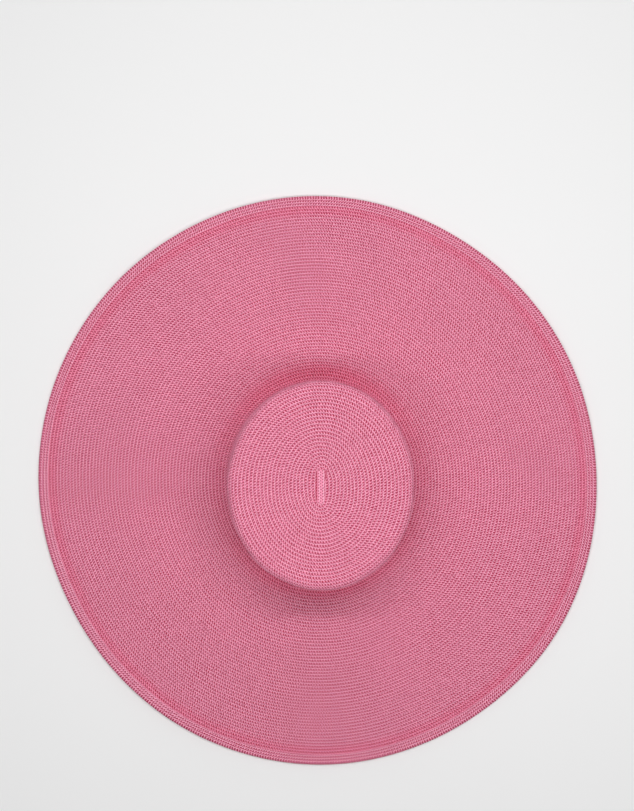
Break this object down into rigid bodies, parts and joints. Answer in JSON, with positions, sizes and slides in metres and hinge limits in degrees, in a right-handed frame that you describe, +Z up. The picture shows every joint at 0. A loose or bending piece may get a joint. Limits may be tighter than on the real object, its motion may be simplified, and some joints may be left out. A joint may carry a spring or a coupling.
{
  "type": "boater hat",
  "caption": "Flat-topped oval straw hat with an upright wall and a very wide, gently sloping brim, sewn in a spiral from narrow braid and open below for the head.",
  "frame": {"origin": "on the surface that the hat stands on, in the middle of the rim's box", "axes": "+Z up through the crown, +Y towards the wearer's front, along the head's length, +X to one side"},
  "size_m": [0.5486, 0.5586, 0.1228],
  "materials": {
    "braid": "dyed straw braid sewn in overlapping rows, matt with a faint sheen on the strands",
    "hem_braid": "the same braid folded under and sewn double, matt",
    "tab_braid": "flattened end of the braid, a finer and paler plait, matt"
  },
  "bodies": {
    "root": {"crown": "braid", "brim": "braid", "brim_hem": "hem_braid", "start_tab": "tab_braid"}
  },
  "joints": []
}
